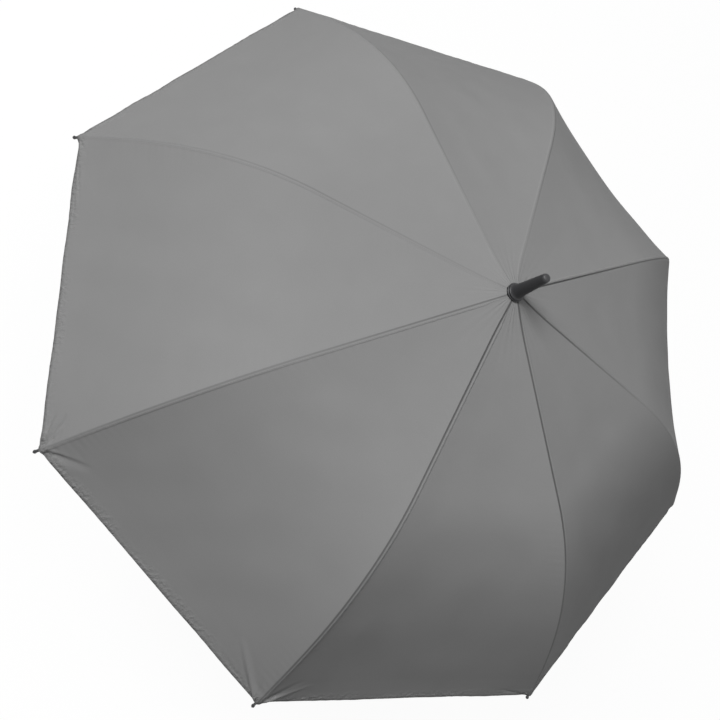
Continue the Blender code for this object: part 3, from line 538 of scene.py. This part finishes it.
def uneven_ripple(run, pitch, wander, swell, phase, swell_phase):
    """A sine wave of a pitch along a run that wanders by the sum of size * sin(run / length + n * phase),
    times mean + (1 - mean) * sin(run / swell + swell phase)."""
    shift = 0
    for n, (size, length) in enumerate(wander, 1):
        shift = shift + size * np.sin(run / length + n * phase)
    height = SWELL_MEAN + (1 - SWELL_MEAN) * np.sin(run / swell + swell_phase)
    return np.sin(2 * np.pi * run / pitch + shift) * height


# Creases that run from a corner into the cloth: rib, side, degrees from the rib (0) to the hem (90), then
# length, width and depth in millimetres (a ridge where it is negative), the degrees by which it bends,
# and how many times as wide its wall on the hem's side is
CREASES = (
    (1, 1, 38, 60, 3.4, 2.3, 7, 3.0), (1, 1, 16, 32, 3.0, 0.8, 0, 1.0), (1, 1, 72, 44, 4.0, 0.6, 0, 1.0),
    (1, -1, 38, 48, 3.6, 4.4, 0, 1.4), (1, -1, 18, 38, 3.0, 2.8, 0, 1.0), (1, -1, 60, 42, 3.4, 3.2, 0, 1.2),
    (2, 1, 85, 120, 3.2, 1.6, 0, 1.0), (2, 1, 79, 90, 3.0, 1.2, 0, 1.0), (2, 1, 50, 34, 3.0, 0.8, 0, 1.0),
    (2, -1, 74, 70, 3.4, 1.4, 0, 1.0), (2, -1, 24, 34, 3.0, 1.0, 0, 1.0),
    (3, 1, 78, 70, 3.4, 1.4, 0, 1.0), (3, 1, 40, 40, 3.2, 1.0, 0, 1.0), (3, -1, 60, 50, 3.6, 1.2, 0, 1.0),
    (4, 1, 70, 60, 3.6, 1.2, 0, 1.0), (4, -1, 40, 46, 3.4, 1.2, 3, 1.0),
    (5, 1, 44, 44, 3.4, 1.0, 2, 1.0), (5, -1, 72, 60, 3.6, 1.2, 0, 1.0), (5, -1, 26, 34, 3.0, 0.8, 0, 1.0),
    (6, 1, 50, 52, 3.6, 1.4, 4, 1.5), (6, -1, 66, 60, 4.2, 1.6, 0, 1.0), (6, -1, 30, 44, 4.0, 1.4, 0, 1.0),
    (7, 1, 18, 62, 3.4, 1.2, 0, 1.0), (7, 1, 56, 50, 3.4, 1.0, 0, 1.0), (7, -1, 70, 60, 3.6, 1.2, 0, 1.0),
    (8, 1, 53, 62, 4.2, -1.9, -2, 0.7), (8, 1, 34, 58, 6.0, 1.5, 0, 0.8), (8, 1, 78, 60, 3.4, 0.8, 0, 1.0),
    (8, -1, 57, 80, 7.5, -3.4, -3, 0.4), (8, -1, 24, 40, 4.0, 1.0, 0, 1.0),
    (8, -1, 80, 80, 3.4, 0.6, 0, 1.0),
)
CREASE_START = 0.006  # from the corner, where a crease has half its depth
CREASE_CLEAR = 0.005  # from the seam, the same; nearer, the cloth lies tight on the rib's tip
CREASE_FADE = 0.7  # power of the share of its length that is left


def crease_depth(number, side, along, distance):
    """Creases on rays from the corner: depth * (1 - (offset / width)^2) * exp(-(offset / width)^2), a
    valley between two low shoulders, with the width multiplied on the hem's side. It fades to nothing at
    its length, by a power, and towards the corner and the seam."""
    reach = np.hypot(distance, RIB_LENGTH - along)
    angle = np.arctan2(distance, RIB_LENGTH - along)
    total = 0
    for rib, half, degrees, length, width, depth, bend, spread in CREASES:
        if rib != number or half != side:
            continue
        share = reach / (length * MM)
        offset = (angle - np.radians(degrees + bend * share)) * reach / (width * MM)
        offset = np.where(offset > 0, offset / spread, offset)
        fade = np.clip(1 - share, 0, 1) ** CREASE_FADE
        total = total + depth * MM * (1 - offset**2) * np.exp(-(offset**2)) * fade
    near_corner = np.clip(reach / CREASE_START - 0.5, 0, 1)
    return total * soft_step(distance, CREASE_CLEAR, CREASE_CLEAR) * near_corner


def cloth_relief(number, side, hollow, along, distance, scale, drawn, point):
    """Height of the cloth over its tight shape. At the seam a groove, depth * exp(-(distance / width)^2),
    and on one side of it a strip, rounded as 1 - (1 - distance / width)^2. From the seam and from the hem
    puckers that fade as exp(-distance / reach). Then the hem's step, the creases, the gathers round the
    crown, which fade as exp(-distance / reach), and waves that grow as (distance / loose distance)^2."""
    true = distance / np.maximum(scale, SCALE_LEAST)
    groove = np.exp(-((true / GROOVE_WIDTH) ** 2))
    relief = -GROOVE_DEPTH * scale * drawn * groove
    if side > 0:
        rounded = 1 - (1 - np.clip(true / FELL_WIDTH, 0, 1)) ** 2
        strip = rounded * (1 - soft_step(true, FELL_WIDTH, FELL_EDGE))
        relief = relief + FELL_RAISE * scale * (FELL_LEAST + (1 - FELL_LEAST) * drawn) * strip
    phase = number * PHASE_STEP + side
    ripple = uneven_ripple(along, PUCKER_PITCH, PUCKER_WANDER, PUCKER_SWELL, phase, phase)
    apart = 1 - np.exp(-distance / PUCKER_CLEAR)
    relief = relief + PUCKER_HEIGHT * ripple * apart * np.exp(-distance / PUCKER_REACH) * scale
    from_hem = RIB_LENGTH - hollow * (1 - np.exp(-((distance / CORNER_WIDTH) ** 2))) - along
    clear = soft_step(distance, *HEM_CLEAR)
    relief = relief + HEM_RAISE * clear * (1 - soft_step(from_hem, HEM_WIDTH, HEM_STEP))
    ripple = uneven_ripple(distance, HEM_PUCKER_PITCH, HEM_PUCKER_WANDER, HEM_PUCKER_SWELL, phase,
                           3 * phase)
    relief = relief + HEM_PUCKER_HEIGHT * ripple * clear * np.exp(-from_hem / HEM_PUCKER_REACH)
    relief = relief - crease_depth(number, side, along, distance)
    plan = np.arctan2(point[..., 1], point[..., 0])
    out = np.hypot(point[..., 0], point[..., 1]) - PIVOT_RADIUS
    wander, turns = GATHER_WANDER
    gather = np.sin(GATHER_COUNT * plan + wander * np.sin(turns * plan)) * np.exp(-out / GATHER_REACH)
    relief = relief + GATHER_HEIGHT * gather * np.clip(out / GATHER_REACH * GATHER_RISE, 0, 1)
    loose = np.clip(distance / LOOSE_DISTANCE, 0, 1) ** 2
    return relief + WAVE_HEIGHT * slow_waves(point) * loose


def grid_normals(points):
    """Unit normals of a grid: the cross product of its two directions, turned to point up."""
    across = np.gradient(points, axis=1)
    along = np.gradient(points, axis=0)
    normal = np.cross(along, across)
    normal /= np.linalg.norm(normal, axis=-1, keepdims=True)
    return normal * np.sign(normal[..., 2:])


SHARP_ANGLE = np.radians(50)


def closed_sheet(name, outer, inner, cut, values):
    """A closed mesh from two grids of like size, joined round their rims. Its UV map is the place on the
    flat cut in metres, and each entry of values is a number kept at every point."""
    rows, columns = outer.shape[:2]
    index = np.arange(rows * columns).reshape(rows, columns)
    a, b, c, d = index[:-1, :-1], index[1:, :-1], index[1:, 1:], index[:-1, 1:]
    top = np.stack([a, b, c, d], -1).reshape(-1, 4)
    low = top[:, ::-1] + rows * columns
    ring = np.concatenate([index[:-1, 0], index[-1, :-1], index[:0:-1, -1], index[0, :0:-1]])
    after = np.roll(ring, -1)
    rim = np.stack([after, ring, ring + rows * columns, after + rows * columns], -1)
    faces = np.concatenate([top, low, rim])
    points = np.concatenate([outer.reshape(-1, 3), inner.reshape(-1, 3)])
    p, q, r = (points[faces[0, k]] for k in range(3))
    if np.cross(q - p, r - p)[2] < 0:
        faces = faces[:, ::-1]
    mesh = bpy.data.meshes.new(name)
    mesh.from_pydata(points.tolist(), [], faces.tolist())
    flat = np.concatenate([cut.reshape(-1, 2)] * 2)
    layer = mesh.uv_layers.new(name="cut")
    layer.data.foreach_set("uv", flat[faces.ravel()].astype(np.float32).ravel())
    for label, value in values.items():
        attribute = mesh.attributes.new(label, "FLOAT", "POINT")
        attribute.data.foreach_set("value", np.concatenate([value.ravel()] * 2).astype(np.float32))
    mesh.shade_smooth()
    mesh.set_sharp_from_angle(angle=SHARP_ANGLE)
    made = bpy.data.objects.new(name, mesh)
    bpy.context.scene.collection.objects.link(made)
    return made


WEAVE_PITCH = 0.00045
SLUBS = 700.0  # uneven threads, a metre
SLUB_DETAIL = 2.0
SLUB_CHANGE = 0.10  # of the tone
# painted shade in the weave's hollows and painted light on its crests, as a share of the tone
WEAVE_SHADE = 0.03


def make_weave_group():
    """Plain weave: the product of sin(pi * x / pitch) and sin(pi * y / pitch) on the flat cut is the
    height; the tone is 1 + change * height, painted shade in the hollows and painted light on the crests,
    times a noise for uneven threads."""
    outputs = [("Height", "Float"), ("Tone", "Float")]
    tree, given, out = new_group("plain_weave", [("Place", "Vector"), ("Pitch", "Float")], outputs)
    xyz = add_node(tree, "SeparateXYZ", [(0, given["Place"])]).outputs
    waves = []
    for axis in ("X", "Y"):
        turns = maths(tree, "MULTIPLY", maths(tree, "DIVIDE", xyz[axis], given["Pitch"]), np.pi)
        waves.append(maths(tree, "SINE", turns))
    product = maths(tree, "MULTIPLY", *waves)
    links = [("Vector", given["Place"]), ("Scale", SLUBS), ("Detail", SLUB_DETAIL)]
    slub = add_node(tree, "TexNoise", links).outputs["Fac"]
    slub_tone = maths(tree, "MULTIPLY_ADD", slub, SLUB_CHANGE, 1 - SLUB_CHANGE / 2)
    # the weave's painted shade and light, times the uneven threads' tone
    tone = maths(tree, "MULTIPLY", maths(tree, "MULTIPLY_ADD", product, WEAVE_SHADE, 1.0), slub_tone)
    tree.links.new(product, out["Height"])
    tree.links.new(tone, out["Tone"])
    return tree


plain_weave = make_weave_group()
STITCH_PITCH = 0.0026
STITCH_WIDTH = 0.0004
STITCH_SIDE = (0.3, 0.6)  # of its width, over which a stitch ends sideways
STITCH_END = (0.3, 0.4)  # of the pitch, over which it ends lengthways


def dashes(tree, distance, line, run):
    """1 on the stitches of a line: one in the middle of each pitch, which ends in a straight slope over
    STITCH_SIDE across the line and over STITCH_END along it."""
    off = maths(tree, "ABSOLUTE", maths(tree, "SUBTRACT", distance, line))
    on = ramp(tree, off, *(STITCH_WIDTH * share for share in STITCH_SIDE), 1.0, 0.0)
    phase = maths(tree, "FRACT", maths(tree, "DIVIDE", run, STITCH_PITCH))
    centre = maths(tree, "ABSOLUTE", maths(tree, "SUBTRACT", phase, 0.5))
    return maths(tree, "MULTIPLY", on, ramp(tree, centre, *STITCH_END, 1.0, 0.0))


CLOTH_TONE = (0.262, 0.262, 0.262, 1)
CLOTH_ROUGHNESS = 0.80
CLOTH_SHEEN = 0.03
CLOTH_SHEEN_ROUGHNESS = 0.45
CLOTH_SPECULAR = 0.16
WEAVE_RELIEF = 0.00002
WEAVE_STRENGTH = 0.6
SEAM_SHADOW = 0.66  # painted shade along a seam: share of the tone that is lost where the seam is fully drawn in
SEAM_SHADOW_SPAN = (0.0006, 0.0016)  # from the seam, over which that ends
MOTTLES = 22.0  # a metre
MOTTLE_DETAIL = 5.0
MOTTLE_CHANGE = 0.07
SEAM_STITCHES = 0.0025  # from the seam
HEM_STITCHES = 0.0045  # from the hem's edge
STITCH_DARK = 0.22
STITCH_HEIGHT = 2.0  # times the weave's
FOLDS = 230.0  # tiny folds along the hem, a metre
FOLD_DETAIL = 4.0
FOLD_DRAW = 0.6  # of that frequency away from the hem
FOLD_SPAN = (0.35, 0.65)  # of the noise, from no fold to a full one
FOLD_RELIEF = 0.0012
FOLD_END = (0.002, 0.018)  # from the hem's edge, over which they end
PATCH_SPAN = (0.40, 0.60)  # of the mottles' noise, from the shallowest folds to the deepest
PATCH_LEAST = 0.3  # depth of the shallowest, as a share of the deepest
EDGE_SPAN = (0.0012, 0.0044)  # from the hem's edge, over which its painted shade ends
HEM_EDGE_SHADE = 0.12  # painted shade on the rolled hem's edge: share of the tone that is lost there
HEM_FOLD_SHADE = 0.40  # and more painted shade in the folds


def make_cloth_material():
    """Matt water-repellent pongee. The tone is the product of the weave's, with painted shade in its
    hollows, soft mottles, painted shade along the seams, painted shade along the hem's edge and deeper
    in its folds, and darker stitches. The relief is the weave with its stitches, and on top of it tiny
    folds near the hem, deeper in some patches than in others."""
    made, tree, bsdf = new_material("grey_pongee", CLOTH_TONE, CLOTH_ROUGHNESS)
    bsdf.inputs["Sheen Weight"].default_value = CLOTH_SHEEN
    bsdf.inputs["Sheen Roughness"].default_value = CLOTH_SHEEN_ROUGHNESS
    bsdf.inputs["Specular IOR Level"].default_value = CLOTH_SPECULAR
    cut = add_node(tree, "UVMap", uv_map="cut").outputs[0]
    x, y, _ = add_node(tree, "SeparateXYZ", [(0, cut)]).outputs
    names = ("seam", "hem", "drawn")
    seam, hem, drawn = (add_node(tree, "Attribute", attribute_name=name).outputs["Fac"] for name in names)
    weave = place_group(tree, plain_weave, [("Place", cut), ("Pitch", WEAVE_PITCH)])
    # painted shade along each seam, deeper where the seam is drawn in harder
    seam_shadow = ramp(tree, maths(tree, "ABSOLUTE", seam), *SEAM_SHADOW_SPAN, SEAM_SHADOW, 0.0)
    painted_seam_shade = maths(tree, "SUBTRACT", 1.0, maths(tree, "MULTIPLY", seam_shadow, drawn))
    links = [("Vector", cut), ("Scale", MOTTLES), ("Detail", MOTTLE_DETAIL)]
    mottle = add_node(tree, "TexNoise", links).outputs["Fac"]
    tone = maths(tree, "MULTIPLY_ADD", maths(tree, "SUBTRACT", mottle, 0.5), MOTTLE_CHANGE, 1.0)
    tone = maths(tree, "MULTIPLY", maths(tree, "MULTIPLY", tone, weave["Tone"]), painted_seam_shade)
    top, rolled = dashes(tree, seam, SEAM_STITCHES, y), dashes(tree, hem, HEM_STITCHES, x)
    stitches = maths(tree, "MAXIMUM", top, rolled)
    drawn_out = add_node(tree, "CombineXYZ", [("X", x), ("Y", maths(tree, "MULTIPLY", hem, FOLD_DRAW))])
    links = [("Vector", drawn_out.outputs[0]), ("Scale", FOLDS), ("Detail", FOLD_DETAIL)]
    fold = ramp(tree, add_node(tree, "TexNoise", links).outputs["Fac"], *FOLD_SPAN)
    near_hem = ramp(tree, hem, *FOLD_END, 1.0, 0.0)
    near_hem = maths(tree, "MULTIPLY", near_hem, ramp(tree, mottle, *PATCH_SPAN, PATCH_LEAST, 1.0))
    # painted shade along the rolled hem's edge, deeper in its tiny folds
    edge = ramp(tree, hem, *EDGE_SPAN, 1.0, 0.0)
    painted_hem_shade = maths(tree, "MULTIPLY_ADD", fold, HEM_FOLD_SHADE, HEM_EDGE_SHADE)
    tone = maths(tree, "MULTIPLY", tone, maths(tree, "SUBTRACT", 1.0, maths(tree, "MULTIPLY", edge, painted_hem_shade)))
    tone = maths(tree, "MULTIPLY", tone, maths(tree, "MULTIPLY_ADD", stitches, -STITCH_DARK, 1.0))
    tree.links.new(scaled(tree, CLOTH_TONE[:3], tone), bsdf.inputs["Base Color"])
    height = maths(tree, "MULTIPLY_ADD", stitches, STITCH_HEIGHT, weave["Height"])
    links = [("Height", height), ("Distance", WEAVE_RELIEF), ("Strength", WEAVE_STRENGTH)]
    woven = add_node(tree, "Bump", links).outputs[0]
    folds = maths(tree, "MULTIPLY", fold, near_hem)
    links = [("Height", folds), ("Distance", FOLD_RELIEF), ("Strength", 1.0), ("Normal", woven)]
    tree.links.new(add_node(tree, "Bump", links).outputs[0], bsdf.inputs["Normal"])
    return made


pongee = make_cloth_material()


def add_half_gore(number, side):
    """One half gore: its tight shape moved along its normals by its relief, with half its thickness on
    each side. It is sewn to its rib. Gore n lies on the right of rib n."""
    word = "left" if side > 0 else "right"
    angle = -np.pi / 2 - (number - 1) * 2 * HALF_GORE
    gore = (number - 1 if side < 0 else number - 2) % rib_count
    hollow = HEM_HOLLOWS[gore] * MM
    along, distance, half_width, scale = half_gore_grid(hollow)
    tight = tight_cloth(along, distance / half_width, angle, side)
    normal = grid_normals(tight)
    drawn = np.interp(along, SEAM_STATIONS, SEAM_DRAW_SHARES[number - 1])
    relief = cloth_relief(number, side, hollow, along, distance, scale, drawn, tight)
    middle = tight + normal * relief[..., None]
    lift = normal * CLOTH_THICKNESS / 2
    cut = np.stack([(half_width - distance) * side, along], axis=-1)
    values = {"seam": distance * side, "hem": RIB_LENGTH - hollow - along, "drawn": drawn}
    sheet = closed_sheet(f"cloth_{number}_{word}", middle + lift, middle - lift, cut, values)
    sheet.data.materials.append(pongee)
    node = f"canopy_{number}_{word}"
    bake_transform(sheet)
    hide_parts(node)


for number in range(1, rib_count + 1):
    add_half_gore(number, 1)
    add_half_gore(number, -1)


# Ferrule and its washer: black nylon, screwed down over the cloth's centre. Under them a thread is wound
# round the shaft, which ties the gathered cloth.

for name in ("ferrule", "ferrule_washer"):
    finish_node(name, nylon)

THREAD_TONE = (0.10, 0.10, 0.10, 1)
THREAD_ROUGHNESS = (0.5, 0.7)
THREAD_MARKS = 300.0
THREAD_TURNS = 5
THREAD_STEPS = 6  # to a turn, up the binding
THREAD_SWELL = 0.00035
BINDING_RADIUS = 0.0060
BINDING_GAP = 0.0002
BINDING_STEPS = 48


def thread_binding():
    """A turned ring whose outer radius is radius + swell * |sin(pi * turns * share)| up its height."""
    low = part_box("crown")[1][2] + BINDING_GAP
    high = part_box("ferrule_washer")[0][2] - BINDING_GAP
    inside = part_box("shaft_tube")[1][0] + BINDING_GAP
    share = np.linspace(0, 1, THREAD_TURNS * THREAD_STEPS + 1)
    out = BINDING_RADIUS + THREAD_SWELL * np.abs(np.sin(np.pi * THREAD_TURNS * share))
    radius = np.concatenate([out, [inside, inside]])
    height = np.concatenate([low + (high - low) * share, [high, low]])
    turn = np.linspace(0, 2 * np.pi, BINDING_STEPS, endpoint=False)
    x = radius[None, :] * np.cos(turn[:, None])
    y = radius[None, :] * np.sin(turn[:, None])
    points = np.stack([x, y, np.broadcast_to(height, x.shape)], axis=-1).reshape(-1, 3)
    index = np.arange(BINDING_STEPS * len(radius)).reshape(BINDING_STEPS, -1)
    after = np.roll(index, -1, axis=0)
    faces = np.stack([index, after, np.roll(after, -1, axis=1), np.roll(index, -1, axis=1)], -1)
    mesh = bpy.data.meshes.new("thread_binding")
    mesh.from_pydata(points.tolist(), [], faces.reshape(-1, 4).tolist())
    mesh.shade_smooth()
    mesh.set_sharp_from_angle(angle=SHARP_ANGLE)
    mesh.materials.append(marked_material("waxed_thread", THREAD_TONE, THREAD_ROUGHNESS, THREAD_MARKS))
    made = bpy.data.objects.new("thread_binding", mesh)
    bpy.context.scene.collection.objects.link(made)
    return made


binding = thread_binding()
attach(binding, "stick")


# Handle: a moulded nylon collar on the shaft's lower end, with a grey plastic push button in its pocket,
# and a bent crook under it with a soft-touch rubber skin.

RUBBER_TONE = (0.024, 0.024, 0.025, 1)
RUBBER_ROUGHNESS = (0.55, 0.70)
RUBBER_MARKS = 900.0
BUTTON_TONE = (0.23, 0.23, 0.24, 1)
BUTTON_ROUGHNESS = (0.25, 0.35)

rubber = marked_material("soft_touch_rubber", RUBBER_TONE, RUBBER_ROUGHNESS, RUBBER_MARKS)
button = marked_material("grey_button", BUTTON_TONE, BUTTON_ROUGHNESS, GRAIN)
finish_node("handle_collar", nylon)
finish_node("handle_crook", rubber)
finish_node("push_button", button)
